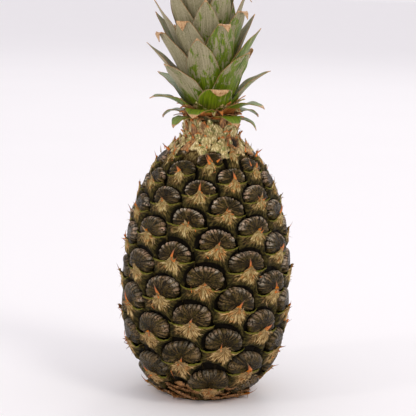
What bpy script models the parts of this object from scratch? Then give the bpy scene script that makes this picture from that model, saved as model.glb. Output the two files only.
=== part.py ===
"""A ripe pineapple standing on its cut base, with its leafy crown. Metres, +Z up.

The fruit is one grown solid: a blunt egg of fused eyes with a short neck. The crown's stem stands
on the neck, and every leaf is a thin curved blade of its own that leaves the stem on the
golden-angle spiral. The leaves are nested cups: each one follows a surface turned about the
fruit's axis, inside the one below it, so no two of them touch.
"""

import math

import bmesh
import bpy
from mathutils import Vector

MM = 0.001
GOLDEN_ANGLE = math.radians(137.508)
FIT_GAP = 0.3 * MM

# The fruit: a superellipse of revolution, with a neck.
FRUIT_RADIUS = 54.5 * MM
WIDEST_HEIGHT = 66.0 * MM
BELOW_WIDEST = 72.0 * MM
ABOVE_WIDEST = 102.0 * MM
BLUNTNESS = 2.3
NECK_RADIUS = 16.8 * MM
NECK_BLEND = 3.5 * MM
FRUIT_HEIGHT = 177.0 * MM
FRUIT_SECTORS = 64
FRUIT_RINGS = 34
SIDE_STEPS = 400

# The eyes: fused fruitlets on a spiral that turns a little more than the golden angle. Each has an
# area of skin, in square millimetres, that shrinks from the base, 0, to the top of the neck, 1.
EYE_ANGLE = math.radians(137.85)
EYE_AREAS = ((0.0, 910.0), (0.25, 680.0), (0.5, 620.0), (0.75, 404.0), (1.0, 230.0))
FIRST_EYE_TURN = math.radians(197.4)
FIRST_EYE_SHARE = 0.26
EYE_GROOVE_DEPTH = 3.6 * MM
EYE_REACH = 1.15
EYE_DOME_POWER = 2.4
BASE_FADE_HEIGHT = 10.0 * MM
NECK_FADE_HEIGHT = 28.0 * MM

# The crown. It leans to the left of the fruit, by this much sideways for each metre of height.
CROWN_LEAN = 0.1
STEM_RADIUS = 14.5 * MM
STEM_TOP_RADIUS = 1.6 * MM
STEM_LENGTH = 62.0 * MM
STEM_TAPER = 0.62
STEM_SECTORS = 24
STEM_RINGS = 9
LEAF_COUNT = 58
COLLAR_LEAF_COUNT = 16
LEAF_THICKNESS = 0.8 * MM
LEAF_STATIONS = 6
STATION_STEPS = 8
LEAF_STRIPS = 4
FIRST_LEAF_TURN = math.radians(83.0)
LEAF_CROWDING = 1.3
LEAF_LENGTH_SPREAD = 0.06
LEAF_TURN_SPREAD = math.radians(2.5)
BASE_HALF_ANGLE = 1.0
LEAF_TIP_POWER = 3.0
LEAF_CURL_POWER = 1.4
TIP_HALF_WIDTH = 0.5 * MM

# How the leaves change from the lowest, 0, to the innermost, 1:
# share, length, half width, lean at the base and at the tip in degrees from upright, channel depth.
LEAF_STAGES = (
    (0.00, 16.0 * MM, 7.4 * MM, 72.0, 178.0, 0.5 * MM),
    (0.12, 22.0 * MM, 10.2 * MM, 50.0, 142.0, 0.8 * MM),
    (0.19, 31.0 * MM, 11.6 * MM, 40.0, 92.0, 1.2 * MM),
    (0.25, 36.0 * MM, 12.0 * MM, 31.0, 56.0, 1.3 * MM),
    (0.34, 46.0 * MM, 12.6 * MM, 23.0, 40.0, 1.4 * MM),
    (0.55, 53.0 * MM, 12.6 * MM, 16.5, 28.0, 1.0 * MM),
    (0.75, 58.0 * MM, 11.0 * MM, 10.5, 15.0, 0.5 * MM),
    (0.90, 62.0 * MM, 7.8 * MM, 6.0, 7.0, 0.2 * MM),
    (1.00, 66.0 * MM, 4.6 * MM, 2.5, 1.5, 0.0),
)


def smoothstep(low, high, value):
    """0 below low, 1 above high, and a smooth rise between them."""
    share = min(1.0, max(0.0, (value - low) / (high - low)))
    return share * share * (3.0 - 2.0 * share)


def wobble(index, channel):
    """An even spread of values from -1 to 1, the same on each run."""
    return 2.0 * ((index * 0.754877 + channel * 0.569840 + 0.31) % 1.0) - 1.0


def material(name, colour, roughness):
    """A plain Principled material."""
    made = bpy.data.materials.new(name)
    made.use_nodes = True
    shader = made.node_tree.nodes["Principled BSDF"]
    shader.inputs["Base Color"].default_value = (*colour, 1.0)
    shader.inputs["Roughness"].default_value = roughness
    made.diffuse_color = (*colour, 1.0)
    return made


def add_object(name, bm, finish):
    """Turns a bmesh into a smooth-shaded object of that name and finish."""
    mesh = bpy.data.meshes.new(name)
    bm.to_mesh(mesh)
    bm.free()
    mesh.shade_smooth()
    mesh.set_sharp_from_angle(angle=math.radians(50.0))
    mesh.materials.append(finish)
    made = bpy.data.objects.new(name, mesh)
    bpy.context.scene.collection.objects.link(made)
    return made


def turned(profile, sectors):
    """A closed bmesh spun about +Z from (radius, height) points that start and end on the axis."""
    bm = bmesh.new()
    points = [bm.verts.new((radius, 0.0, height)) for radius, height in profile]
    edges = [bm.edges.new(pair) for pair in zip(points, points[1:])]
    bmesh.ops.spin(
        bm,
        geom=points + edges,
        axis=(0.0, 0.0, 1.0),
        cent=(0.0, 0.0, 0.0),
        angle=2.0 * math.pi,
        steps=sectors,
        use_merge=True,
    )
    bmesh.ops.remove_doubles(bm, verts=bm.verts, dist=0.00001)
    bmesh.ops.recalc_face_normals(bm, faces=bm.faces)
    return bm


# ---------------------------------------------------------------- fruit


def fruit_radius(height):
    """The fruit's radius at a height: the egg, run smoothly into the neck."""
    span = ABOVE_WIDEST if height > WIDEST_HEIGHT else BELOW_WIDEST
    share = min(1.0, abs(height - WIDEST_HEIGHT) / span)
    egg = FRUIT_RADIUS * (1.0 - share**BLUNTNESS) ** (1.0 / BLUNTNESS)
    if height < WIDEST_HEIGHT:
        return egg
    apart = (egg - NECK_RADIUS) / NECK_BLEND
    return NECK_RADIUS + NECK_BLEND * math.log1p(math.exp(min(apart, 40.0)))


def meridian():
    """Points up the fruit's side from the rim of its base: (radius, height, distance along the side)."""
    points = []
    along = 0.0
    for step in range(SIDE_STEPS + 1):
        height = FRUIT_HEIGHT * (1.0 - math.cos(math.pi * step / SIDE_STEPS)) / 2.0
        radius = fruit_radius(height)
        if points:
            along += math.hypot(radius - points[-1][0], height - points[-1][1])
        points.append((radius, height, along))
    return points


SIDE = meridian()
SIDE_LENGTH = SIDE[-1][2]


def on_side(along):
    """(radius, height) at a distance up the side."""
    for (r0, z0, s0), (r1, z1, s1) in zip(SIDE, SIDE[1:]):
        if along <= s1:
            share = (along - s0) / (s1 - s0)
            return r0 + (r1 - r0) * share, z0 + (z1 - z0) * share
    return SIDE[-1][:2]


def interpolated(table, share):
    """A row of values read off a table whose rows start with a rising share."""
    for low, high in zip(table, table[1:]):
        if share <= high[0]:
            blend = (share - low[0]) / (high[0] - low[0])
            return [a + (b - a) * blend for a, b in zip(low[1:], high[1:])]
    return list(table[-1][1:])


def eye_centres():
    """The eyes' centres as (turn, distance up the side, half width), from the base to the neck.

    Each eye takes its share of the skin, so one is placed each time that share has been passed.
    """
    centres = []
    passed = FIRST_EYE_SHARE
    for (_, _, s0), (r1, _, s1) in zip(SIDE, SIDE[1:]):
        area = interpolated(EYE_AREAS, s1 / SIDE_LENGTH)[0] * MM * MM
        passed += 2.0 * math.pi * r1 * (s1 - s0) / area
        if passed >= 1.0:
            passed -= 1.0
            turn = FIRST_EYE_TURN - EYE_ANGLE * len(centres)
            centres.append((turn, s1, 0.5 * math.sqrt(area)))
    return centres


def groove_depth(turn, along, radius, centres):
    """How far the skin lies below the top of the nearest eye: 0 at an eye's centre, full in a groove."""
    nearest = 1.0
    for eye_turn, eye_along, half in centres:
        across = (turn - eye_turn + math.pi) % (2.0 * math.pi) - math.pi
        away = math.hypot(across * radius, along - eye_along) / (EYE_REACH * half)
        nearest = min(nearest, away)
    return EYE_GROOVE_DEPTH * nearest**EYE_DOME_POWER


def build_fruit(finish):
    """The fruit with its eyes, smooth at its flat base and on top of its neck."""
    side = [on_side(SIDE_LENGTH * ring / FRUIT_RINGS) for ring in range(FRUIT_RINGS + 1)]
    bm = turned([(0.0, 0.0), *side, (0.0, FRUIT_HEIGHT)], FRUIT_SECTORS)
    centres = eye_centres()
    for vertex in bm.verts:
        radius = math.hypot(vertex.co.x, vertex.co.y)
        height = vertex.co.z
        fade = smoothstep(0.0, BASE_FADE_HEIGHT, height)
        fade *= smoothstep(0.0, NECK_FADE_HEIGHT, FRUIT_HEIGHT - height)
        if radius < MM or fade <= 0.0:
            continue
        along = next(s for _, z, s in SIDE if z >= height - 1e-9)
        turn = math.atan2(vertex.co.x, -vertex.co.y)
        depth = fade * groove_depth(turn, along, radius, centres)
        slope = (fruit_radius(height + MM) - fruit_radius(height - MM)) / (2.0 * MM)
        outwards = Vector((vertex.co.x / radius, vertex.co.y / radius, -slope)).normalized()
        vertex.co -= depth * outwards
    return add_object("fruit", bm, finish)


# ---------------------------------------------------------------- crown


def lean_crown(bm):
    """Slides each level of the crown sideways, so that its flat foot stays flat on the neck."""
    for vertex in bm.verts:
        vertex.co.x -= CROWN_LEAN * (vertex.co.z - FRUIT_HEIGHT - FIT_GAP)


def stem_radius(share):
    """The crown stem's radius at a share of its length."""
    return STEM_TOP_RADIUS + (STEM_RADIUS - STEM_TOP_RADIUS) * (1.0 - share) ** STEM_TAPER


def build_crown_stem(finish):
    """The crown's short tapering stem, standing on the neck."""
    foot = FRUIT_HEIGHT + FIT_GAP
    profile = [(0.0, foot + STEM_LENGTH)]
    for ring in range(STEM_RINGS, -1, -1):
        share = ring / STEM_RINGS
        profile.append((stem_radius(share), foot + STEM_LENGTH * share))
    profile.append((0.0, foot))
    bm = turned(profile, STEM_SECTORS)
    lean_crown(bm)
    return add_object("crown_stem", bm, finish)


def leaf_midline(share, length, base_lean, tip_lean):
    """The leaf's middle line as (radius, height, lean) at its stations, from the stem to the tip."""
    rise = LEAF_THICKNESS + (STEM_LENGTH - 2.0 * LEAF_THICKNESS) * share**LEAF_CROWDING
    radius = stem_radius(rise / STEM_LENGTH) + 2.0 * FIT_GAP + LEAF_THICKNESS / 2.0
    height = FRUIT_HEIGHT + FIT_GAP + rise
    step = length / (LEAF_STATIONS * STATION_STEPS)
    line = [(radius, height, math.radians(base_lean))]
    for station in range(LEAF_STATIONS):
        for part in range(STATION_STEPS):
            along = (station + (part + 0.5) / STATION_STEPS) / LEAF_STATIONS
            lean = math.radians(base_lean + (tip_lean - base_lean) * along**LEAF_CURL_POWER)
            radius += step * math.sin(lean)
            height += step * math.cos(lean)
        line.append((radius, height, lean))
    return line


def leaf_half_width(along, half_width, base_half_width):
    """The blade's half width: a clasping base, full by a third, and a broad pointed tip."""
    swell = smoothstep(0.0, 0.34, along)
    widened = base_half_width + (half_width - base_half_width) * swell
    taper = 1.0 - along**LEAF_TIP_POWER
    return max(TIP_HALF_WIDTH, widened * taper)


def build_leaf(index, finish):
    """One leaf: a grid laid on its cup, bent along the middle line, given its thickness."""
    share = index / (LEAF_COUNT - 1)
    length, half_width, base_lean, tip_lean, channel = interpolated(LEAF_STAGES, share)
    length *= 1.0 + LEAF_LENGTH_SPREAD * wobble(index, 1)
    turn = FIRST_LEAF_TURN - GOLDEN_ANGLE * index + LEAF_TURN_SPREAD * wobble(index, 2)
    line = leaf_midline(share, length, base_lean, tip_lean)
    base_half_width = min(half_width, BASE_HALF_ANGLE * line[0][0])
    bm = bmesh.new()
    bmesh.ops.create_grid(bm, x_segments=LEAF_STRIPS, y_segments=LEAF_STATIONS, size=1.0)
    for vertex in bm.verts:
        across = vertex.co.x
        along = (vertex.co.y + 1.0) / 2.0
        radius, height, lean = line[round(along * LEAF_STATIONS)]
        half = leaf_half_width(along, half_width, base_half_width)
        angle = turn + across * half / radius
        lift = channel * across * across * smoothstep(0.1, 0.5, along) * half / half_width
        radius -= lift * math.cos(lean)
        height += lift * math.sin(lean)
        vertex.co = (radius * math.sin(angle), -radius * math.cos(angle), height)
    lean_crown(bm)
    bmesh.ops.recalc_face_normals(bm, faces=bm.faces)
    name = f"collar_leaf_{index + 1:02d}"
    if index >= COLLAR_LEAF_COUNT:
        name = f"crown_leaf_{index + 1 - COLLAR_LEAF_COUNT:02d}"
    made = add_object(name, bm, finish)
    skin = made.modifiers.new("thickness", "SOLIDIFY")
    skin.thickness = LEAF_THICKNESS
    skin.offset = 0.0
    return made


def main():
    for old in list(bpy.data.objects):
        bpy.data.objects.remove(old)
    rind = material("rind", (0.10, 0.10, 0.055), 0.55)
    stem = material("stem", (0.42, 0.38, 0.17), 0.8)
    collar = material("collar_leaf", (0.14, 0.20, 0.03), 0.5)
    leaf = material("crown_leaf", (0.36, 0.40, 0.28), 0.6)
    build_fruit(rind)
    build_crown_stem(stem)
    for index in range(LEAF_COUNT):
        build_leaf(index, collar if index < COLLAR_LEAF_COUNT else leaf)


main()
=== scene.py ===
"""The looks of a whole pineapple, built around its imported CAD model. Metres, +Z up.

The fruit is a dark body with its eyes set on it in a spiral. Every eye has a pleated dome, a fibrous
bract that laps over the dome's lower edge, and a dried tip. The crown's leaves follow the cups of the
CAD leaves, with a keel, thin dried margins, waxy bloom, rubbed green patches and dry folded tips.
"""

import math
import random

import bmesh
import bpy
import numpy as np
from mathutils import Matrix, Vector


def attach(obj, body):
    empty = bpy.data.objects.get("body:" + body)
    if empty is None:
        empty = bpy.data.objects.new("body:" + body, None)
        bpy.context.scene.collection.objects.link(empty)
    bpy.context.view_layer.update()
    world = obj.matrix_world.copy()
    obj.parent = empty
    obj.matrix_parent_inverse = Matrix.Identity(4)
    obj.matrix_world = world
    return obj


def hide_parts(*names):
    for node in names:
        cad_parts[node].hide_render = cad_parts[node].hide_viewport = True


bl_info = {
    "name": "Pineapple",
    "version": (1, 0, 0),
    "blender": (4, 5, 0),
    "location": "View3D > Sidebar > Pineapple",
    "description": "Builds a ripe pineapple with its crown, and a small studio for it",
    "category": "Add Mesh",
}

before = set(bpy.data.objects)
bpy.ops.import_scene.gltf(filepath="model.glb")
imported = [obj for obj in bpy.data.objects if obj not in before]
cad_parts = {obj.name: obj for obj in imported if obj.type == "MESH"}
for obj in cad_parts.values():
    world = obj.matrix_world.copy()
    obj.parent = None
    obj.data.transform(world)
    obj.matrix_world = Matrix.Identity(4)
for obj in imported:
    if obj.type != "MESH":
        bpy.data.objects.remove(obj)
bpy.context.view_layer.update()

MM = 0.001
FULL_TURN = 2.0 * math.pi
GOLDEN_ANGLE = math.radians(137.508)
WHOLE_PHASE = 6.28  # the range of a ripple's random start
ROOT = "root"

# The outline of the fruit, as in the CAD: a superellipse of revolution that runs into a neck.
FRUIT_RADIUS = 54.5 * MM
WIDEST_HEIGHT = 66.0 * MM
BELOW_WIDEST = 72.0 * MM
ABOVE_WIDEST = 102.0 * MM
BLUNTNESS = 2.3
NECK_RADIUS = 16.8 * MM
NECK_BLEND = 3.5 * MM
FRUIT_HEIGHT = 177.0 * MM
SIDE_STEPS = 400
LOWEST_POINT = 0.3 * MM  # nothing on the skin reaches below this, so the fruit stands on its base

# The spiral of the eyes, as in the CAD. Areas are in square millimetres.
EYE_ANGLE = math.radians(137.85)
EYE_AREA_SHARES = (0.0, 0.25, 0.5, 0.75, 1.0)
EYE_AREAS = (910.0, 680.0, 620.0, 404.0, 230.0)
FIRST_EYE_TURN = math.radians(197.4)
FIRST_EYE_SHARE = 0.26
MIDDLE_EYE_AREA = 620.0  # the eyes' shapes below are drawn, in millimetres, for this one
EYE_TILT = 5.0  # degrees
LAST_EYE_GAP = 15.0 * MM  # the neck above the last eye has scales only
LEAST_EYES = 60
DOME_MIDDLE = 1.4
BRACT_REACH = {5: 0.55, 8: 0.70}  # a bract's share of the way to its left and right neighbours

# What is repeated on the skin, and the seeds of the chance in it.
NECK_SCALES, BASE_SCALES, NECK_NEEDLES, FOOT_SCALES = 92, 84, 46, 44
EYE_SEED, NECK_SEED, BASE_SEED, NEEDLE_SEED, FOOT_SEED, LEAF_SEED = 41, 7, 29, 23, 19, 5
DRIED_EYE_TURN = math.radians(37.0)
DRIED_EYE_DROP = 15.5 * MM
FLAT_SPIKE = 0.15 * MM  # a spike lower than this is pressed flat under the base, and is left out

# The crown, as in the CAD. It leans to the left of the fruit.
CROWN_LEAN = 0.1
FIT_GAP = 0.3 * MM
STEM_RADIUS = 14.5 * MM
STEM_TOP_RADIUS = 1.6 * MM
STEM_LENGTH = 62.0 * MM
STEM_TAPER = 0.62
LEAF_COUNT = 58
COLLAR_LEAF_COUNT = 16
LEAF_THICKNESS = 0.8 * MM
FIRST_LEAF_TURN = math.radians(83.0)
LEAF_CROWDING = 1.3
LEAF_LENGTH_SPREAD = 0.06
LEAF_TURN_SPREAD = math.radians(2.5)
BASE_HALF_ANGLE = 1.0
LEAF_TIP_POWER = 3.0
LEAF_CURL_POWER = 1.4
TIP_HALF_WIDTH = 0.5 * MM
LEAF_SHARES = (0.0, 0.12, 0.19, 0.25, 0.34, 0.55, 0.75, 0.90, 1.0)
LEAF_LENGTHS = (16.0, 22.0, 31.0, 36.0, 46.0, 53.0, 58.0, 62.0, 66.0)
LEAF_HALF_WIDTHS = (7.4, 10.2, 11.6, 12.0, 12.6, 12.6, 11.0, 7.8, 4.6)
LEAF_BASE_LEANS = (72.0, 50.0, 40.0, 31.0, 23.0, 16.5, 10.5, 6.0, 2.5)
LEAF_TIP_LEANS = (178.0, 142.0, 92.0, 56.0, 40.0, 28.0, 15.0, 7.0, 1.5)
LEAF_CHANNELS = (0.5, 0.8, 1.2, 1.3, 1.4, 1.0, 0.5, 0.2, 0.0)


# ---------------------------------------------------------------- numbers


def smoothstep(low, high, value):
    """0 below low, 1 above high, and a smooth rise between them."""
    share = np.clip((value - low) / (high - low), 0.0, 1.0)
    return share * share * (3.0 - 2.0 * share)


def wobble(index, channel):
    """An even spread of values from -1 to 1, the same on each run."""
    return 2.0 * ((index * 0.754877 + channel * 0.569840 + 0.31) % 1.0) - 1.0


def fruit_radius(height):
    """The fruit's radius at a height: the egg, run smoothly into the neck."""
    span = ABOVE_WIDEST if height > WIDEST_HEIGHT else BELOW_WIDEST
    share = min(1.0, abs(height - WIDEST_HEIGHT) / span)
    egg = FRUIT_RADIUS * (1.0 - share**BLUNTNESS) ** (1.0 / BLUNTNESS)
    if height < WIDEST_HEIGHT:
        return egg
    apart = (egg - NECK_RADIUS) / NECK_BLEND
    return NECK_RADIUS + NECK_BLEND * math.log1p(math.exp(min(apart, 40.0)))


class Skin:
    """The fruit's outer skin, unrolled: places on it are a turn and a distance up the side."""

    UNDER, ABOVE = 30, 20  # steps that carry on below the base and above the neck
    WINDOW = 21  # steps over which the outward direction is evened out

    def __init__(self):
        steps = np.arange(SIDE_STEPS + 1)
        heights = FRUIT_HEIGHT * (1.0 - np.cos(math.pi * steps / SIDE_STEPS)) / 2.0
        radii = np.array([fruit_radius(h) for h in heights])
        gaps = np.hypot(np.diff(radii), np.diff(heights))
        along = np.concatenate(([0.0], np.cumsum(gaps)))
        self.length = along[-1]
        self.side = (radii, heights, along)
        under = np.linspace(-20.0 * MM, -0.5 * MM, self.UNDER)
        above = np.linspace(0.5 * MM, 14.0 * MM, self.ABOVE)
        self.along = np.concatenate((under, along, self.length + above))
        self.radius = np.concatenate((radii[0] + under, radii, np.full(self.ABOVE, radii[-1])))
        self.height = np.concatenate((np.zeros(self.UNDER), heights, FRUIT_HEIGHT + above))
        self.even = np.linspace(self.along[0], self.along[-1], 900)
        radial = self.evened(self.height)
        rising = -self.evened(self.radius)
        size = np.hypot(radial, rising)
        self.out_radial, self.out_rising = radial / size, rising / size

    def evened(self, values):
        """How steeply values change up the side, evened out over the window."""
        slope = np.gradient(np.interp(self.even, self.along, values), self.even)
        slope = np.pad(slope, self.WINDOW // 2, mode="edge")
        return np.convolve(slope, np.ones(self.WINDOW) / self.WINDOW, mode="valid")

    def place(self, turn, along, out):
        """Points at a turn and a distance up the side, raised outwards from the skin."""
        radius = self.radius_at(along) + out * np.interp(along, self.even, self.out_radial)
        height = np.interp(along, self.along, self.height)
        height = height + out * np.interp(along, self.even, self.out_rising)
        return np.stack((radius * np.sin(turn), -radius * np.cos(turn), height), axis=-1)

    def radius_at(self, along):
        return np.interp(along, self.along, self.radius)

    def lay(self, eye, right, up, out):
        """Places an eye's own coordinates, in millimetres at the middle size, on the skin."""
        across = eye.wide * MM * (right * math.cos(eye.tilt) - up * math.sin(eye.tilt))
        risen = eye.tall * MM * (right * math.sin(eye.tilt) + up * math.cos(eye.tilt))
        local = self.radius_at(eye.along + risen)
        local = np.maximum(local, 0.72 * self.radius_at(eye.along))
        points = self.place(eye.turn + across / local, eye.along + risen, out * eye.deep * MM)
        points[:, 2] = np.maximum(points[:, 2], LOWEST_POINT)
        return points


SKIN = Skin()


class Eye:
    """One eye's place on the skin, its size, and how far its lower neighbours are from it."""

    def __init__(self, turn, along, area=MIDDLE_EYE_AREA, tilt=0.0):
        self.turn, self.along, self.tilt = turn, along, tilt
        radius = SKIN.radius_at(along)
        self.deep = math.sqrt(area / MIDDLE_EYE_AREA)
        across = radius / FRUIT_RADIUS
        risen = area / MIDDLE_EYE_AREA / across
        if along < 0.4 * SKIN.length:
            across, risen = self.deep, self.deep
        self.wide = math.sqrt(across * self.deep)
        self.tall = math.sqrt(risen * self.deep)
        self.level = float(smoothstep(0.1, 0.8, along / SKIN.length))
        spacing = area / (FULL_TURN * radius / MM)
        self.below = {}
        for steps in (5, 8, 13):
            turned = (steps * EYE_ANGLE + math.pi) % FULL_TURN - math.pi
            self.below[steps] = (turned * radius / MM / self.wide, -steps * spacing / self.tall)


def eye_places(chance):
    """Every eye, from the base to the neck: each takes its share of the skin."""
    eyes = []
    passed = FIRST_EYE_SHARE
    radii, _, along = SKIN.side
    for step in range(1, SIDE_STEPS + 1):
        area = np.interp(along[step] / SKIN.length, EYE_AREA_SHARES, EYE_AREAS)
        ring = FULL_TURN * radii[step] * (along[step] - along[step - 1])
        passed += ring / (area * MM * MM)
        if passed >= 1.0:
            passed -= 1.0
            turn = FIRST_EYE_TURN - EYE_ANGLE * len(eyes)
            tilt = math.radians(chance.uniform(-EYE_TILT, EYE_TILT))
            eyes.append(Eye(turn, along[step], area, tilt))
    return [eye for eye in eyes if eye.along < SKIN.length - LAST_EYE_GAP]


# ---------------------------------------------------------------- modelling by hand


def deselect():
    """Leaves nothing selected and no object in edit mode."""
    if bpy.context.object and bpy.context.object.mode != "OBJECT":
        bpy.ops.object.mode_set(mode="OBJECT")
    bpy.ops.object.select_all(action="DESELECT")


def coordinates(piece):
    flat = np.empty(3 * len(piece.data.vertices))
    piece.data.vertices.foreach_get("co", flat)
    return flat.reshape(-1, 3)


def reshape(piece, points):
    piece.data.vertices.foreach_set("co", np.ascontiguousarray(points).ravel())
    piece.data.update()


def paint(piece, **values):
    """Stores one number a point, which the finishes read."""
    count = len(piece.data.vertices)
    for name, value in values.items():
        layer = piece.data.attributes.new(name, "FLOAT", "POINT")
        layer.data.foreach_set("value", np.broadcast_to(value, count).astype(float))


def activate(*pieces):
    """Selects these pieces only, the first one active."""
    deselect()
    for piece in pieces:
        piece.select_set(True)
    bpy.context.view_layer.objects.active = pieces[0]


def copy_of(template, points, **layers):
    """A copy with its own mesh, reshaped and painted."""
    made = template.copy()
    made.data = template.data.copy()
    bpy.context.scene.collection.objects.link(made)
    reshape(made, points)
    paint(made, **layers)
    return made


def discard(piece):
    mesh = piece.data
    bpy.data.objects.remove(piece)
    bpy.data.meshes.remove(mesh)


class Batch:
    """Copies of one template that are shaped one by one and joined into one piece."""

    def __init__(self, template):
        self.template = template
        self.flat = coordinates(template)
        self.pieces = []

    def add(self, points, **layers):
        self.pieces.append(copy_of(self.template, points, **layers))

    def join(self):
        discard(self.template)
        activate(*self.pieces)
        bpy.ops.object.join()
        return bpy.context.view_layer.objects.active


def finished(piece, name, finish, angle=None):
    """Names a piece, gives it its finish, smooths it and lets it ride on the fruit's body."""
    if not piece or not piece.data.polygons:
        raise RuntimeError(f"{name} came out empty")
    piece.name = name
    piece.data.name = name
    piece.data.materials.clear()
    piece.data.materials.append(finish)
    activate(piece)
    if angle is None:
        bpy.ops.object.shade_smooth()
    else:
        bpy.ops.object.shade_smooth_by_angle(angle=angle)
    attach(piece, ROOT)
    return piece


def outwards(piece):
    """Turns every face of a closed piece outwards."""
    activate(piece)
    bpy.ops.object.mode_set(mode="EDIT")
    bpy.ops.mesh.select_all(action="SELECT")
    bpy.ops.mesh.remove_doubles(threshold=0.000001)
    bpy.ops.mesh.normals_make_consistent(inside=False)
    bpy.ops.object.mode_set(mode="OBJECT")
    return piece


def ball(segments, rings):
    """A unit ball, the start of the domes, body and stem, and each point's ring from its top."""
    deselect()
    bpy.ops.mesh.primitive_uv_sphere_add(segments=segments, ring_count=rings, radius=1.0)
    made = bpy.context.object
    height = np.clip(coordinates(made)[:, 2], -1.0, 1.0)
    return made, np.rint(np.arccos(height) * rings / math.pi)


def slab(columns, rows):
    """A square sheet from -1 to 1 with two sides, at z = +0.5 and -0.5, closed round its edge."""
    deselect()
    bpy.ops.mesh.primitive_grid_add(x_subdivisions=columns, y_subdivisions=rows, size=2.0)
    made = bpy.context.object
    wall = made.modifiers.new("wall", "SOLIDIFY")
    wall.thickness = 1.0
    wall.offset = 0.0
    wall.use_even_offset = False
    bpy.ops.object.modifier_apply(modifier=wall.name)
    return made


def spike(sides, steps, blunt=0.04):
    """A closed spike one unit long, extruded ring by ring up +Z from a small filled circle."""
    deselect()
    bpy.ops.mesh.primitive_circle_add(vertices=sides, radius=1.0, fill_type="NGON")
    made = bpy.context.object
    bpy.ops.object.mode_set(mode="EDIT")
    bpy.ops.mesh.select_all(action="SELECT")
    for step in range(steps):
        left = 1.0 - step / steps
        narrower = (1.0 - (step + 1) / steps + blunt) / (left + blunt)
        bpy.ops.mesh.extrude_region_move(
            TRANSFORM_OT_translate={"value": (0.0, 0.0, 1.0 / steps)}
        )
        bpy.ops.transform.resize(value=(narrower, narrower, 1.0))
    bpy.ops.mesh.select_all(action="SELECT")
    bpy.ops.mesh.normals_make_consistent(inside=False)
    bpy.ops.object.mode_set(mode="OBJECT")
    return made


# ---------------------------------------------------------------- finishes


class Finish:
    """A node material that is put together step by step."""

    def __init__(self, name, **constants):
        old = bpy.data.materials.get(name)
        if old:
            bpy.data.materials.remove(old)
        self.material = bpy.data.materials.new(name)
        self.material.use_nodes = True
        self.tree = self.material.node_tree
        self.shader = self.tree.nodes["Principled BSDF"]
        for socket, value in constants.items():
            self.shader.inputs[socket.replace("_", " ")].default_value = value

    def put(self, socket, value):
        if isinstance(value, bpy.types.NodeSocket):
            self.tree.links.new(value, socket)
        elif isinstance(value, tuple) and len(value) == 3 and socket.type == "RGBA":
            socket.default_value = (*value, 1.0)
        else:
            socket.default_value = value

    def set(self, socket, value):
        self.put(self.shader.inputs[socket], value)

    def layer(self, name):
        node = self.tree.nodes.new("ShaderNodeAttribute")
        node.attribute_name = name
        return node.outputs["Fac"]

    def layers(self, *names):
        return [self.layer(name) for name in names]

    def place(self, scale=(1.0, 1.0, 1.0)):
        where = self.tree.nodes.new("ShaderNodeTexCoord")
        stretch = self.tree.nodes.new("ShaderNodeMapping")
        stretch.inputs["Scale"].default_value = scale
        self.tree.links.new(where.outputs["Object"], stretch.inputs["Vector"])
        return stretch.outputs["Vector"]

    def join(self, x, y, z):
        node = self.tree.nodes.new("ShaderNodeCombineXYZ")
        for socket, value in zip(node.inputs, (x, y, z)):
            self.put(socket, value)
        return node.outputs["Vector"]

    def noise(self, vector, scale, detail, roughness=0.55, distortion=0.0):
        node = self.tree.nodes.new("ShaderNodeTexNoise")
        self.tree.links.new(vector, node.inputs["Vector"])
        node.inputs["Scale"].default_value = scale
        node.inputs["Detail"].default_value = detail
        node.inputs["Roughness"].default_value = roughness
        node.inputs["Distortion"].default_value = distortion
        return node.outputs["Fac"]

    def math(self, operation, first, second):
        node = self.tree.nodes.new("ShaderNodeMath")
        node.operation = operation
        self.put(node.inputs[0], first)
        self.put(node.inputs[1], second)
        return node.outputs["Value"]

    def times(self, first, second):
        return self.math("MULTIPLY", first, second)

    def plus(self, first, second, share=1.0):
        """The first plus a share of the second."""
        return self.math("ADD", first, self.times(second, share) if share != 1.0 else second)

    def step(self, value, low, high):
        """0 below low, 1 above high, smooth between them."""
        node = self.tree.nodes.new("ShaderNodeMapRange")
        node.interpolation_type = "SMOOTHSTEP"
        self.put(node.inputs["Value"], value)
        node.inputs["From Min"].default_value = low
        node.inputs["From Max"].default_value = high
        return node.outputs["Result"]

    def span(self, value, low, high):
        """Maps 0..1 to low..high."""
        node = self.tree.nodes.new("ShaderNodeMapRange")
        self.put(node.inputs["Value"], value)
        node.inputs["To Min"].default_value = low
        node.inputs["To Max"].default_value = high
        return node.outputs["Result"]

    def ramp(self, value, *stops):
        node = self.tree.nodes.new("ShaderNodeValToRGB")
        self.put(node.inputs["Fac"], value)
        elements = node.color_ramp.elements
        while len(elements) < len(stops):
            elements.new(0.5)
        for element, (position, colour) in zip(elements, stops):
            element.position = position
            element.color = (*colour, 1.0)
        return node.outputs["Color"]

    def mix(self, factor, first, second):
        node = self.tree.nodes.new("ShaderNodeMix")
        node.data_type = "RGBA"
        self.put(node.inputs["Factor"], factor)
        self.put(node.inputs[6], first)
        self.put(node.inputs[7], second)
        return node.outputs[2]

    def shift(self, value, low, high, first, second):
        """The first colour where value is below low, the second above high, a blend between."""
        return self.mix(self.step(value, low, high), first, second)

    def bump(self, height, distance):
        node = self.tree.nodes.new("ShaderNodeBump")
        node.inputs["Strength"].default_value = 1.0
        node.inputs["Distance"].default_value = distance
        self.put(node.inputs["Height"], height)
        self.tree.links.new(node.outputs["Normal"], self.shader.inputs["Normal"])


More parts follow.
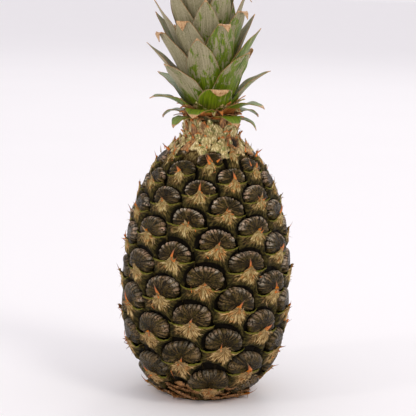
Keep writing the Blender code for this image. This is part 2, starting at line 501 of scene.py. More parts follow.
def body_finish():
    """Skin in the grooves between the eyes, painted near black, partly its own dark colour and partly
    painted shade of the deep grooves; straw-brown near the neck and base.
    """
    made = Finish("groove_skin_and_shade", Roughness=0.9, Specular_IOR_Level=0.03)
    patches = made.noise(made.place(), 160.0, 4.0)
    fibres = made.noise(made.place((900.0, 900.0, 160.0)), 1.0, 3.0)
    # The near-black ramp is partly the skin's dark colour and partly painted shade of the deep grooves
    # between the eyes.
    black, umber, brown = (0.003, 0.003, 0.002), (0.009, 0.007, 0.004), (0.03, 0.02, 0.009)
    colour = made.ramp(patches, (0.3, black), (0.55, umber), (0.8, brown))
    colour = made.shift(fibres, 0.55, 0.8, colour, (0.03, 0.022, 0.01))
    straw = made.shift(fibres, 0.4, 0.65, (0.08, 0.045, 0.014), (0.34, 0.25, 0.09))
    made.set("Base Color", made.mix(made.layer("neck"), colour, straw))
    made.bump(made.plus(patches, fibres), 0.0006)
    return made.material


def dome_finish(fruit):
    """Waxy dark olive skin of an eye, with a painted highlight in pale on the upper side of its pleated rim,
    and painted shade in the creases between the pleats.
    """
    warm = (1.0, 0.80, 0.56, 1.0)
    made = Finish("dome_skin", Specular_IOR_Level=0.16, Specular_Tint=warm)
    where = made.place()
    tone, level, rim, lobe, upper = made.layers("tone", "level", "rim", "lobe", "upper")
    dial = made.join(made.layer("dial_x"), made.layer("dial_y"), made.times(tone, 29.0))
    spokes = made.noise(dial, 9.0, 3.0, 0.6)
    sides = made.noise(dial, 1.9, 1.0)
    clouds = made.noise(where, 190.0, 4.0, 0.6)
    specks = made.noise(where, 900.0, 4.0, 0.65)
    olive = made.mix(tone, tuple(fruit.dome_colour), tuple(fruit.dome_brown))
    olive = made.shift(clouds, 0.42, 0.68, olive, (0.078, 0.058, 0.010))
    olive = made.shift(spokes, 0.48, 0.62, olive, (0.165, 0.105, 0.038))
    olive = made.shift(specks, 0.46, 0.62, olive, (0.006, 0.004, 0.002))
    # The pale pleats are a painted highlight: only on the rim's lobes, mostly on their upper side, patchy,
    # and brighter on the higher eyes.
    pale = made.shift(clouds, 0.4, 0.6, tuple(fruit.pleat_highlight_colour), (0.84, 0.54, 0.36))
    painted_highlight = made.times(rim, made.step(lobe, 0.3, 0.9))
    painted_highlight = made.times(painted_highlight, made.step(made.times(upper, made.plus(sides, 0.3)), 0.56, 0.86))
    painted_highlight = made.times(painted_highlight, made.span(level, 0.25, 1.0))
    painted_highlight = made.times(painted_highlight, made.step(specks, 0.62, 0.42))
    # Painted shade: the creases between the rim's pleats are painted near black.
    crease = made.times(made.step(lobe, 0.35, 0.0), rim)
    made.set("Base Color", made.mix(crease, made.mix(painted_highlight, olive, pale), (0.004, 0.003, 0.002)))
    made.set("Roughness", made.span(made.step(specks, 0.35, 0.7), 0.14, 0.55))
    made.bump(made.plus(specks, made.plus(clouds, spokes, 2.0)), 0.0008)
    return made.material


def bract_finish(fruit):
    """Dry fibrous bract: a straw-coloured star, olive-brown wings, thin yellow-green edges, and painted
    shade where it meets the next domes.
    """
    warm = (1.0, 0.88, 0.7, 1.0)
    made = Finish("bract_fibre", Roughness=0.65, Specular_IOR_Level=0.12, Specular_Tint=warm)
    across, along, tone, level = made.layers("across", "along", "tone", "level")
    straw, edge, tip, groove_shade, border = made.layers("straw", "edge", "tip", "groove_shade", "border")
    seed = made.times(tone, 37.0)
    rays = made.join(made.times(across, 2.3), made.times(along, 0.30), seed)
    fibres = made.noise(rays, 1.0, 4.0, 0.65, 0.5)
    clouds = made.noise(made.join(across, along, seed), 0.33, 3.0)
    flecks = made.noise(made.join(across, made.times(along, 0.8), seed), 1.5, 4.0, 0.7)

    body = made.ramp(
        fibres,
        (0.36, (0.008, 0.005, 0.001)),
        (0.46, (0.070, 0.042, 0.012)),
        (0.55, (0.225, 0.130, 0.040)),
        (0.66, (0.520, 0.340, 0.150)),
    )
    green = made.shift(fibres, 0.4, 0.65, (0.022, 0.022, 0.003), (0.15, 0.145, 0.022))
    greening = made.step(made.plus(clouds, level, 0.1), 0.48, 0.66)
    body = made.mix(made.times(greening, 0.4), body, green)
    body = made.shift(flecks, 0.60, 0.70, body, (0.26, 0.17, 0.09))
    shaded = made.shift(fibres, 0.42, 0.62, (0.010, 0.006, 0.002), (0.130, 0.074, 0.026))
    body = made.mix(made.times(made.step(along, 8.0, 13.0), 0.75), body, shaded)
    olive = made.shift(fibres, 0.42, 0.62, (0.010, 0.009, 0.002), (0.080, 0.064, 0.015))
    # Near the next domes the body turns dark olive: partly the bract's olive colour, partly painted shade.
    body = made.mix(made.times(made.step(border, 0.1, 0.7), 0.9), body, olive)

    star = made.ramp(
        fibres,
        (0.34, (0.045, 0.022, 0.006)),
        (0.43, tuple(fruit.bract_shade)),
        (0.53, tuple(fruit.bract_colour)),
        (0.64, (0.92, 0.78, 0.42)),
    )
    tan = made.shift(fibres, 0.38, 0.62, (0.12, 0.05, 0.014), (0.66, 0.42, 0.18))
    star = made.mix(made.times(made.math("SUBTRACT", 1.0, level), 0.75), star, tan)
    rust = made.shift(fibres, 0.4, 0.62, (0.16, 0.05, 0.01), (0.75, 0.30, 0.07))
    rusting = made.step(made.plus(clouds, tone, 0.2), 0.62, 0.78)
    star = made.mix(made.times(rusting, 0.7), star, rust)
    star = made.shift(flecks, 0.62, 0.72, star, (0.10, 0.05, 0.018))

    cover = made.plus(straw, made.plus(fibres, flecks), 0.55)
    colour = made.shift(cover, 0.85, 1.25, body, star)
    rim = made.shift(flecks, 0.4, 0.6, tuple(fruit.edge_colour), (0.20, 0.17, 0.03))
    colour = made.shift(made.plus(edge, flecks, 0.4), 0.6, 1.0, colour, rim)
    point = tuple(fruit.tip_colour)
    colour = made.shift(made.plus(tip, flecks, 0.5), 0.75, 1.05, colour, point)
    # Painted shade: near black in the gap along the rims of the next domes.
    colour = made.shift(groove_shade, 0.35, 0.85, colour, (0.003, 0.002, 0.001))
    made.set("Base Color", colour)
    made.bump(made.plus(fibres, flecks), 0.0008)
    return made.material


def tip_finish(fruit):
    """Dried bract tips: orange at the foot, darker and browner to the point, some of them straw."""
    made = Finish("dry_tip", Roughness=0.55)
    along, tone = made.layers("along", "tone")
    fibres = made.noise(made.place((1.0, 1.0, 0.35)), 1500.0, 3.0)
    orange = made.ramp(
        along,
        (0.0, tuple(fruit.tip_colour)),
        (0.5, (0.50, 0.13, 0.02)),
        (0.8, (0.16, 0.06, 0.02)),
        (1.0, (0.30, 0.22, 0.10)),
    )
    straw = made.ramp(
        along,
        (0.0, (0.55, 0.40, 0.16)),
        (0.6, (0.40, 0.26, 0.12)),
        (1.0, (0.10, 0.06, 0.03)),
    )
    colour = made.shift(tone, 0.55, 0.75, orange, straw)
    made.set("Base Color", made.shift(fibres, 0.5, 0.75, colour, (0.12, 0.04, 0.012)))
    made.bump(fibres, 0.0002)
    return made.material


def neck_finish():
    """Jumbled scales: cream and straw, some brown or green, orange at their points."""
    made = Finish("neck_scale", Roughness=0.6)
    across, along, tip, tone = made.layers("across", "along", "tip", "tone")
    seed = made.times(tone, 31.0)
    rays = made.join(made.times(across, 1.5), made.times(along, 0.4), seed)
    fibres = made.noise(rays, 1.0, 4.0, 0.65, 0.3)
    clouds = made.noise(made.join(across, along, seed), 0.4, 3.0)
    pale = made.ramp(
        fibres,
        (0.34, (0.13, 0.075, 0.02)),
        (0.44, (0.40, 0.29, 0.095)),
        (0.53, (0.66, 0.52, 0.21)),
        (0.64, (0.98, 0.86, 0.52)),
    )
    green = made.shift(fibres, 0.4, 0.65, (0.10, 0.115, 0.015), (0.36, 0.36, 0.09))
    pale = made.shift(clouds, 0.5, 0.66, pale, green)
    brown = made.shift(fibres, 0.38, 0.64, (0.12, 0.045, 0.014), (0.60, 0.30, 0.10))
    colour = made.shift(made.plus(tone, clouds, 0.3), 0.82, 0.98, pale, brown)
    colour = made.shift(made.plus(tip, fibres, 0.4), 0.85, 1.15, colour, (0.68, 0.24, 0.05))
    # The dried eye's hollow is painted near black: partly its dark dried skin, partly painted shade.
    made.set("Base Color", made.mix(made.layer("hollow"), colour, (0.006, 0.004, 0.003)))
    made.bump(fibres, 0.0005)
    return made.material


def leaf_finish(crown):
    """Leaf blade: grey waxy bloom over green, rubbed green patches, dried margins and tips."""
    made = Finish("leaf_bloom", Specular_IOR_Level=0.4)
    across, along, tone, edge = made.layers("across", "along", "tone", "edge")
    fresh, dry, rubbed, foot = made.layers("fresh", "dry", "rubbed", "foot")
    seed = made.times(tone, 53.0)
    lines = made.join(made.times(across, 2.4), made.times(along, 0.05), seed)
    veins = made.noise(lines, 1.0, 2.0, 0.5)
    grain = made.noise(made.join(across, made.times(along, 0.5), seed), 1.6, 4.0, 0.65)
    patches = made.join(made.times(across, 0.20), made.times(along, 0.09), seed)
    blots = made.noise(patches, 1.5, 5.0, 0.72, 0.5)
    wax = tuple(crown.bloom_shade), tuple(crown.bloom_colour)
    bloom = made.shift(veins, 0.35, 0.65, *wax)
    bloom = made.shift(grain, 0.45, 0.7, bloom, (0.45, 0.385, 0.25))
    green = made.shift(veins, 0.35, 0.65, tuple(crown.green_colour), (0.21, 0.285, 0.008))
    worn = made.plus(made.plus(blots, rubbed, 0.45), fresh, 0.6)
    worn = made.step(made.plus(worn, grain, 0.16), 0.76, 0.84)
    colour = made.mix(worn, bloom, green)
    orange = made.shift(veins, 0.4, 0.62, (0.30, 0.08, 0.015), (0.62, 0.26, 0.07))
    colour = made.shift(made.plus(foot, grain, 0.5), 0.85, 1.15, colour, orange)
    rust = made.shift(grain, 0.4, 0.7, (0.42, 0.20, 0.07), (0.20, 0.13, 0.04))
    colour = made.shift(made.plus(edge, grain, 0.3), 0.85, 1.1, colour, rust)
    tan = made.shift(veins, 0.35, 0.65, (0.66, 0.43, 0.21), tuple(crown.dry_colour))
    tan = made.shift(grain, 0.50, 0.62, tan, (0.34, 0.13, 0.035))
    tan = made.shift(grain, 0.36, 0.28, tan, (0.10, 0.045, 0.014))
    colour = made.shift(made.plus(dry, grain, 0.4), 0.6, 0.8, colour, tan)
    made.set("Base Color", colour)
    made.set("Roughness", made.span(worn, 0.58, 0.34))
    made.bump(made.plus(veins, grain, 0.4), 0.0003)
    return made.material


def stem_finish():
    """Fibrous crown stem, pale green to brown."""
    made = Finish("stem_fibre", Roughness=0.8)
    fibres = made.noise(made.place((700.0, 700.0, 90.0)), 1.0, 4.0)
    brown, straw, green = (0.06, 0.04, 0.015), (0.20, 0.17, 0.06), (0.36, 0.34, 0.14)
    made.set("Base Color", made.ramp(fibres, (0.3, brown), (0.5, straw), (0.7, green)))
    made.bump(fibres, 0.0008)
    return made.material


def scar_finish():
    """The cut of the stalk: brown cork round a pale fibrous core."""
    made = Finish("stalk_scar", Roughness=0.85)
    specks = made.noise(made.place(), 500.0, 4.0, 0.7)
    pores = made.noise(made.place(), 1600.0, 2.0)
    colour = made.ramp(
        made.layer("out"),
        (0.0, (0.42, 0.31, 0.16)),
        (0.38, (0.33, 0.22, 0.10)),
        (0.5, (0.10, 0.05, 0.02)),
        (0.75, (0.17, 0.09, 0.04)),
        (1.0, (0.06, 0.035, 0.018)),
    )
    colour = made.shift(specks, 0.45, 0.7, colour, (0.05, 0.03, 0.012))
    made.set("Base Color", made.shift(pores, 0.55, 0.7, colour, (0.36, 0.26, 0.14)))
    made.bump(made.plus(specks, pores), 0.0006)
    return made.material


def floor_finish(stage):
    """Plain matt studio floor."""
    made = Finish("studio_floor", Roughness=0.6)
    soft = made.noise(made.place(), 3.0, 2.0)
    made.set("Base Color", made.mix(soft, tuple(stage.floor_colour), (0.95, 0.94, 0.95)))
    return made.material


# ---------------------------------------------------------------- settings


def colour_setting(name, description, default):
    return bpy.props.FloatVectorProperty(
        name=name, description=description, default=default, subtype="COLOR", size=3, min=0.0, max=1.0
    )


def length_setting(name, description, default, low, high):
    return bpy.props.FloatProperty(
        name=name,
        description=description,
        default=default,
        min=low,
        max=high,
        subtype="DISTANCE",
        unit="LENGTH",
    )


class PineappleFruitSettings(bpy.types.PropertyGroup):
    """Sizes and colours of the fruit's skin."""

    groove_depth: length_setting(
        "Groove depth", "How far the dark skin lies below the tops of the eyes", 4.4 * MM, 1.0 * MM, 8.0 * MM
    )
    dome_half_width: length_setting(
        "Dome half width", "Half the width of a middle-sized eye's dome", 12.4 * MM, 8.0 * MM, 14.0 * MM
    )
    pleat_depth: length_setting(
        "Pleat depth", "Depth of the creases round a dome's rim", 1.3 * MM, 0.0, 2.5 * MM
    )
    tip_length: length_setting(
        "Tip length", "Usual length of a bract's dried tip", 5.0 * MM, 2.0 * MM, 9.0 * MM
    )
    dome_colour: colour_setting("Dome colour", "Olive skin of the eyes", (0.011, 0.011, 0.003))
    dome_brown: colour_setting("Dome brown", "Browner skin of some eyes", (0.015, 0.009, 0.003))
    # The pleat colour is a painted highlight on the domes' rims.
    pleat_highlight_colour: colour_setting("Pleat colour", "Pale wax on the pleats", (0.80, 0.70, 0.52))
    bract_colour: colour_setting("Bract colour", "Straw at the middle of a bract", (0.50, 0.36, 0.115))
    bract_shade: colour_setting("Bract shade", "Darker fibres of a bract", (0.20, 0.125, 0.035))
    edge_colour: colour_setting("Edge colour", "Yellow-green edge of a bract", (0.115, 0.125, 0.008))
    tip_colour: colour_setting("Tip colour", "Orange foot of a dried tip", (0.85, 0.24, 0.01))


class PineappleCrownSettings(bpy.types.PropertyGroup):
    """Sizes and colours of the crown."""

    leaf_thickness: length_setting(
        "Leaf thickness", "Thickness of a leaf along its middle", 1.1 * MM, 0.5 * MM, 2.0 * MM
    )
    bloom_colour: colour_setting("Bloom colour", "Grey wax on the leaves", (0.40, 0.348, 0.21))
    bloom_shade: colour_setting("Bloom shade", "Green showing through the wax", (0.215, 0.198, 0.085))
    green_colour: colour_setting("Green colour", "Leaf skin without its wax", (0.055, 0.105, 0.002))
    dry_colour: colour_setting("Dry colour", "Dried leaf ends", (0.50, 0.29, 0.13))


class PineappleStageSettings(bpy.types.PropertyGroup):
    """The studio around the fruit."""

    floor_size: length_setting(
        "Floor size", "Width of the floor", 80.0, 2.0, 200.0
    )
    camera_distance: length_setting(
        "Camera distance", "Distance from the camera to the fruit", 0.9, 0.4, 3.0
    )
    camera_elevation: bpy.props.FloatProperty(
        name="Camera elevation",
        description="How far the camera looks down",
        default=math.radians(9.0),
        min=0.0,
        max=math.radians(60.0),
        subtype="ANGLE",
        unit="ROTATION",
    )
    floor_colour: colour_setting("Floor colour", "Plain floor", (0.93, 0.92, 0.93))


# ---------------------------------------------------------------- the fruit


# A dome's rings from its top to its underside: share of its reach, and millimetres above the skin.
DOME_REACHES = (0.00, 0.17, 0.34, 0.50, 0.64, 0.76, 0.86, 0.93, 0.98, 1.00, 0.99, 0.80, 0.00)
DOME_RISES = (-0.9, -0.8, -0.45, -0.1, 0.05, 0.0, -0.35, -1.0, -2.0, -3.2, -4.6, -5.2, -5.2)


def make_body():
    """The dark body under the eyes: a ball drawn out to the fruit's outline."""
    fruit = bpy.context.scene.pineapple_fruit
    rings, base_rings, top_rings = 110, 12, 4  # the base rings close the flat base
    made, ring = ball(96, rings)
    points = coordinates(made)
    turn = np.arctan2(points[:, 0], -points[:, 1])
    share = (rings - base_rings - ring) / (rings - base_rings - top_rings)
    along = np.clip(share, 0.0, 1.0) * SKIN.length
    near_neck = SKIN.length - 16.0 * MM
    sink = fruit.groove_depth * smoothstep(0.0, 9.0 * MM, along)
    sink = sink * (1.0 - 0.75 * smoothstep(SKIN.length - 30.0 * MM, near_neck, along))
    spots = SKIN.place(turn, along, -sink)
    closing = np.where(share < 0.0, np.clip((rings - ring) / base_rings, 0.0, 1.0), 1.0)
    closing = np.where(share > 1.0, np.clip(ring / top_rings, 0.0, 1.0), closing)
    spots[:, :2] *= closing[:, None]
    spots[:, 2] = np.where(share < 0.0, 0.0, spots[:, 2])
    reshape(made, spots)
    neck = smoothstep(SKIN.length - 34.0 * MM, near_neck, along)
    paint(made, neck=np.maximum(neck, 0.5 - 0.5 * smoothstep(8.0 * MM, 20.0 * MM, along)))
    return outwards(made)


def dome_points(ring, azimuth, chance, fruit, level):
    """The shape of one dome, and what its finish needs to know."""
    count = chance.choice((19, 20, 21, 22, 23, 24))
    phase = chance.uniform(0.0, FULL_TURN)
    strength = chance.uniform(0.6, 1.15) * (0.55 + 0.5 * level)
    half_width = fruit.dome_half_width / MM * chance.uniform(0.95, 1.05)
    above = chance.uniform(8.4, 9.8)
    below = chance.uniform(5.4, 6.4)
    numbers = range(len(DOME_REACHES))
    reach = np.interp(ring, numbers, DOME_REACHES)
    rise = np.interp(ring, numbers, DOME_RISES)
    cosine, sine = np.cos(azimuth), np.sin(azimuth)
    tall = np.where(sine > 0.0, above, below)
    power = np.where(sine > 0.0, 2.2, 3.4)
    outline = (np.abs(cosine) / half_width) ** power + (np.abs(sine) / tall) ** power
    outline = outline ** (-1.0 / power)
    outline *= 1.0 + 0.035 * np.sin(2.0 * azimuth + phase) + 0.03 * np.sin(3.0 * azimuth - phase)
    fold = azimuth * count + 1.3 * np.sin(azimuth * 2.0 + phase)
    fold = fold + 0.7 * np.sin(azimuth * 5.0 - phase)
    lobe = np.abs(np.sin(0.5 * fold)) ** 0.6
    strength = strength * (0.75 + 0.35 * np.sin(azimuth * 3.0 - 2.0 * phase))
    upper = smoothstep(-0.5, 0.15, sine)
    crease = (1.0 - lobe) * smoothstep(0.42, 0.9, reach) * strength * (0.25 + 0.75 * upper)
    outline = outline * (1.0 - 0.10 * crease)
    rise = rise - crease * fruit.pleat_depth / MM * np.where(rise < -3.0, 0.2, 1.0)
    rise = rise + 0.35 * np.sin(azimuth * 2.0 + 2.0 * phase) * smoothstep(0.2, 0.8, reach)
    right = outline * reach * cosine
    up = DOME_MIDDLE + outline * reach * sine
    lean = chance.uniform(-0.04, 0.04)
    rise = rise + lean * right + 0.3 * (chance.random() - 0.5)
    rise = rise - 0.8 * np.maximum(0.0, -DOME_MIDDLE - up)
    return (right, up, rise), smoothstep(0.66, 0.92, reach), lobe, upper


def make_domes(eyes, chance):
    """Every eye's dome, each from the same ball."""
    fruit = bpy.context.scene.pineapple_fruit
    template, ring = ball(96, 12)
    domes = Batch(template)
    x, y = domes.flat[:, 0], domes.flat[:, 1]
    azimuth = np.arctan2(y, x)
    middle = smoothstep(0.0, 0.3, np.hypot(x, y))
    dial_x, dial_y = np.cos(azimuth) * middle, np.sin(azimuth) * middle
    for eye in eyes:
        shape, rim, lobe, upper = dome_points(ring, azimuth, chance, fruit, eye.level)
        domes.add(
            SKIN.lay(eye, *shape),
            rim=rim,
            lobe=lobe,
            upper=upper,
            level=eye.level,
            tone=chance.random(),
            dial_x=dial_x,
            dial_y=dial_y,
        )
    return domes.join()


def bract_outline(right, eye, dip):
    """The upper and lower edge of a bract at a distance to the right of its middle.

    Its left and right points lie halfway to the next eyes. Its lower edge dives under the next domes.
    """
    left_x, left_y = eye.below[5][0] * BRACT_REACH[5], eye.below[5][1] * 0.20
    right_x, right_y = eye.below[8][0] * BRACT_REACH[8], eye.below[8][1] * 0.08
    low_x = (eye.below[8][0] + eye.below[13][0]) * 0.5
    low_y = (eye.below[8][1] + eye.below[13][1]) * 0.5
    away = np.abs(right)
    shoulder, point = -2.4, 4.2  # the wings' height, and half the width of the point between them
    middle = shoulder + 3.4 * np.clip(1.0 - away / point, 0.0, 1.0) ** 1.2
    reach = np.where(right < 0.0, -left_x, right_x)
    end = np.where(right < 0.0, left_y, right_y)
    share = np.clip((away - point) / (reach - point), 0.0, 1.0)
    wing = shoulder - dip * np.sin(math.pi * share) ** 0.8 + (end - shoulder) * share * share
    upper = np.where(away < point, middle, wing)
    stops = (
        (left_x, left_y - 0.8),
        (left_x * 0.96, left_y - 9.0),
        (eye.below[13][0] * 1.3, eye.below[13][1] * 0.70),
        (eye.below[13][0] * 0.2, eye.below[13][1] * 0.68),
        (low_x * 0.75, low_y * 1.05),
        (low_x * 1.05, low_y * 1.05),
        (right_x * 0.92, right_y + low_y * 0.45),
        (right_x, right_y - 0.8),
    )
    lower = np.interp(right, [x for x, _ in stops], [y for _, y in stops])
    return upper, np.minimum(lower, upper - 0.5)


def free_of_domes(right, up, eye):
    """0 at the rims of the three domes below an eye, more where a bract is free of them."""
    apart = np.full(len(right), 9.0)
    for x, y in eye.below.values():
        tall = np.where(up > y + DOME_MIDDLE, 10.2, 8.6)
        away = np.hypot((right - x) / 13.2, (up - y - DOME_MIDDLE) / tall)
        apart = np.minimum(apart, away - 1.0)
    return apart


def bract_points(template, eye, chance):
    """The shape of one bract: a shingle with a keel, standing proud at its upper edge."""
    column, row, side = template.T
    left, right = (eye.below[steps][0] * reach for steps, reach in BRACT_REACH.items())
    reach = np.where(column < 0.0, -left, right)
    right = reach * np.sign(column) * np.abs(column) ** 1.35
    upper, lower = bract_outline(right, eye, chance.uniform(0.3, 2.0))
    share = ((1.0 - row) / 2.0) ** 1.25
    phase = chance.uniform(0.0, WHOLE_PHASE)
    up = upper + (lower - upper) * share
    up = up + 0.25 * np.sin(right * 2.1 + phase) * (1.0 - share) ** 3
    apart = free_of_domes(right, up, eye)
    free = smoothstep(0.03, 0.15, share)
    # The bract sinks beside the next domes' rims and is painted near black there as shade.
    groove_shade = (1.0 - smoothstep(0.0, 0.25, apart)) * free
    # The band near the next domes' rims, which the finish darkens partly as painted shade.
    border = (1.0 - smoothstep(0.06, 0.55, apart)) * free
    middle = np.exp(-((right / 3.8) ** 2))
    lip = -0.5 + 2.1 * middle
    ends = smoothstep(0.92, 1.0, np.abs(column))
    rise = lip * (1.0 - share) ** 0.7 - 1.9 * share - 1.0 * ends
    rise = rise * (1.0 - groove_shade) + groove_shade * np.minimum(rise, -4.0 + 1.4 * (1.0 - share) ** 4)
    spread = np.arctan2(right, -(up + 1.6))
    away = np.hypot(right, up + 2.9)
    ribs = np.sin(spread * 13.0 + phase + 0.4 * np.sin(away)) * smoothstep(0.8, 4.0, away)
    rise = rise + ribs * (0.18 + 0.22 * middle) + 0.25 * np.sin(up * 0.8 + right * 0.6 + phase)
    point = smoothstep(-2.0, 0.8, up) * (np.abs(right) < 4.0)
    rise = rise + 0.7 * point * point
    rise = np.where(side < 0.0, rise - 0.45 - 0.5 * middle - 0.6 * share, rise)
    rays = 1.0 + 0.24 * np.sin(spread * 7.0 + phase) + 0.12 * np.sin(spread * 17.0 - 2.0 * phase)
    arms = 5.4 + 2.6 * np.abs(np.cos(spread)) ** 5 + 2.4 * np.abs(np.sin(spread)) ** 6
    arms = arms * rays * (1.25 - 0.25 * eye.level) * chance.uniform(0.85, 1.2)
    straw = (1.0 - smoothstep(0.3, 1.5, away / arms)) * (1.0 - 0.75 * border)
    edge = (1.0 - smoothstep(0.02, 0.13, share)) * smoothstep(3.4, 5.2, np.abs(right))
    layers = {"across": spread * 5.0, "along": away, "straw": straw, "groove_shade": groove_shade, "border": border}
    return (right, up, rise), point, {**layers, "edge": edge * (1.0 - 0.4 * ends)}


def make_bracts(eyes, chance):
    """Every eye's bract, each from the same slab."""
    bracts = Batch(slab(26, 14))
    for eye in eyes:
        shape, point, layers = bract_points(bracts.flat, eye, chance)
        tip = point * (0.15 + 1.0 * chance.random() ** 2.0)
        tone = chance.random()
        bracts.add(SKIN.lay(eye, *shape), tip=tip, tone=tone, level=eye.level, **layers)
    return bracts.join()


def bent_spike(template, length, width, flatness, start, lean, side, curl):
    """A spike in an eye's coordinates: it leaves start, leaning out of the skin and to one side."""
    across, thick, share = template.T
    angle = lean + curl * share
    if abs(curl) < 0.01:
        forward, raised = share * math.cos(lean), share * math.sin(lean)
    else:
        forward = (np.sin(angle) - math.sin(lean)) / curl
        raised = (math.cos(lean) - np.cos(angle)) / curl
    across = -across * width
    thick = thick * width * flatness
    forward = length * forward - thick * np.sin(angle)
    raised = length * raised + thick * np.cos(angle)
    right = start[0] + across * math.cos(side) + forward * math.sin(side)
    up = start[1] - across * math.sin(side) + forward * math.cos(side)
    return right, up, start[2] + raised


def add_spike(spikes, eye, size, start, aim, tone):
    """Adds a spike to an eye: size is length, width, flatness; aim is lean, side, curl."""
    points = SKIN.lay(eye, *bent_spike(spikes.flat, *size, start, *aim))
    if np.ptp(points[:, 2]) >= FLAT_SPIKE:
        spikes.add(points, along=spikes.flat[:, 2], tone=tone)


def make_tips(eyes, chance):
    """Dried tips: a needle or a broad curled end on every bract, finer threads and fibres round it."""
    usual = bpy.context.scene.pineapple_fruit.tip_length / MM
    tips = Batch(spike(6, 6))
    between = chance.uniform
    for eye in eyes:
        side = chance.gauss(0.0, 0.5)
        foot = (between(-0.8, 0.8), -0.6, 1.1)
        if chance.random() < 0.4:
            size = (usual * between(1.1, 1.9), between(1.1, 1.9), 0.2)
            aim = (0.5, side, between(-1.1, -0.5))
            add_spike(tips, eye, size, foot, aim, 0.5 * chance.random())
        else:
            size = (usual * between(0.7, 1.4), between(0.6, 1.1), 0.4)
            aim = (between(0.3, 1.0), side, between(-0.7, 0.5))
            add_spike(tips, eye, size, foot, aim, chance.random())
        for _ in range(chance.choice((1, 2, 2, 3))):
            size = (usual * between(0.4, 1.0), between(0.3, 0.7), 0.5)
            foot = (between(-2.4, 2.4), between(-3.0, -0.4), 1.0)
            aim = (between(0.3, 1.2), side + between(-1.4, 1.4), between(-0.9, 0.8))
            add_spike(tips, eye, size, foot, aim, chance.random())
        for _ in range(chance.choice((3, 4, 5))):
            size = (usual * between(0.4, 1.1), between(0.18, 0.36), 0.8)
            foot = (between(-8.0, 8.0), between(-9.0, -2.6), -0.2)
            aim = (between(0.15, 0.8), between(-2.8, 2.8), between(-0.6, 0.6))
            add_spike(tips, eye, size, foot, aim, between(0.45, 1.0))
    return tips.join()


def neck_place(turn, along, tilt):
    """A place on the neck whose coordinates are true millimetres."""
    place = Eye(turn, along, tilt=tilt)
    place.wide = place.tall = place.deep = 1.0
    return place


def add_scale(scales, place, size, chance, sunk=0.0, tone=None):
    """Adds a scale: a pointed leaf shape with a keel, its point standing off the skin."""
    column, row, side = scales.flat.T
    half, tall = size
    phase = chance.uniform(0.0, WHOLE_PHASE)
    share = (row + 1.0) / 2.0
    width = half * (1.0 - share) ** 0.75 * (0.8 + 0.5 * share)
    width = width * (1.0 + 0.12 * np.sin(share * 8.0 + phase) + 0.08 * np.sin(share * 17.0 - phase))
    right = column * np.maximum(width, 0.12) + 0.8 * np.sin(phase) * share * share
    up = -tall * 0.4 + share * tall + 0.3 * np.sin(column * 4.0 + phase)
    proud = chance.uniform(-0.2, 1.0) * smoothstep(0.3, 1.0, share)
    proud = proud + chance.choice((0.0, 0.0, 1.6)) * share**4
    out = 0.1 - sunk + 0.9 * share + 0.35 * np.exp(-((column / 0.4) ** 2)) + proud
    out = out - 0.5 * column * column * (1.0 - share) + 0.12 * np.sin(column * 7.0 + phase)
    out = np.where(side < 0.0, out - 0.5 - 1.0 * (1.0 - share), out)
    tip = smoothstep(0.45, 0.95, share) * chance.choice((0.3, 0.7, 1.0, 1.0))
    if tone is None:
        tone = chance.random()
    else:
        tip = 0.4 * tip
    points = SKIN.lay(place, right, up, out)
    scales.add(points, across=right, along=up, tip=tip, tone=tone, hollow=0.0)


def add_dried_eye(scales, place):
    """Adds a small eye that dried up to a hollow with a curled brown rim; the hollow is painted near black,
    partly its dark dried skin and partly painted shade.
    """
    column, row, side = scales.flat.T
    square = np.maximum(np.abs(column), np.abs(row))
    round_off = square / np.maximum(np.hypot(column, row), 0.001)
    right, up = 3.6 * column * round_off, 5.4 * row * round_off
    out = 0.8 + 3.2 * square**3 + 0.5 * np.sin(np.arctan2(row, column) * 5.0) * square
    out = np.where(side < 0.0, out - 0.8 - 0.6 * square, out)
    hollow = (1.0 - smoothstep(0.7, 0.95, square)) * (side > 0.0)
    points = SKIN.lay(place, right, up, out)
    scales.add(points, across=right, along=up, tip=0.0, tone=1.0, hollow=hollow)


def make_neck_scales(chance):
    """Small pointed scales in a jumble round the neck, with one dried-up eye among them."""
    scales = Batch(slab(8, 8))
    for number in range(NECK_SCALES):
        rise = number / (NECK_SCALES - 1)
        along = SKIN.length + (-22.0 + 22.0 * rise + chance.uniform(-1.0, 1.0)) * MM
        turn = number * GOLDEN_ANGLE + 0.4 + chance.uniform(-0.1, 0.1)
        place = neck_place(turn, along, math.radians(chance.uniform(-18.0, 18.0)))
        size = (chance.uniform(3.6, 5.8), chance.uniform(6.5, 10.5))
        add_scale(scales, place, size, chance)
    add_dried_eye(scales, neck_place(DRIED_EYE_TURN, SKIN.length - DRIED_EYE_DROP, -0.15))
    return scales.join()


def make_base_scales(chance):
    """Dry brown bracts that fill the gaps between the lowest eyes and the base."""
    scales = Batch(slab(8, 8))
    for number in range(BASE_SCALES):
        rise = number / (BASE_SCALES - 1)
        along = (2.5 + 15.5 * rise + chance.uniform(-1.0, 1.0)) * MM
        turn = number * GOLDEN_ANGLE + 0.9
        place = neck_place(turn, along, math.radians(chance.uniform(-35.0, 35.0)))
        size = (chance.uniform(4.5, 7.5), chance.uniform(6.0, 9.5))
        sunk = 0.3 + 3.0 * float(smoothstep(2.0 * MM, 12.0 * MM, along))
        add_scale(scales, place, size, chance, sunk, tone=1.0)
    return scales.join()


def make_neck_needles(chance):
    """Dry orange and straw needles that stand off the neck."""
    needles = Batch(spike(5, 4))
    for number in range(NECK_NEEDLES):
        along = SKIN.length - chance.uniform(2.0, 34.0) * MM
        place = neck_place(number * GOLDEN_ANGLE, along, 0.0)
        size = (chance.uniform(2.5, 6.5), chance.uniform(0.4, 1.0), 0.4)
        aim = (chance.uniform(0.3, 1.2), chance.gauss(0.0, 0.6), chance.uniform(-0.8, 0.6))
        add_spike(needles, place, size, (0.0, 0.0, 1.0), aim, chance.random())
    return needles.join()


# The stalk's cut, from its edge to its middle: width of each ring and how far it sinks, in millimetres.
SCAR_RINGS = ((2.0, 0.0), (3.0, 0.0), (6.5, 0.0), (0.8, 0.5), (4.5, 0.0), (4.5, -0.2))
SCAR_CREASE = math.radians(40.0)


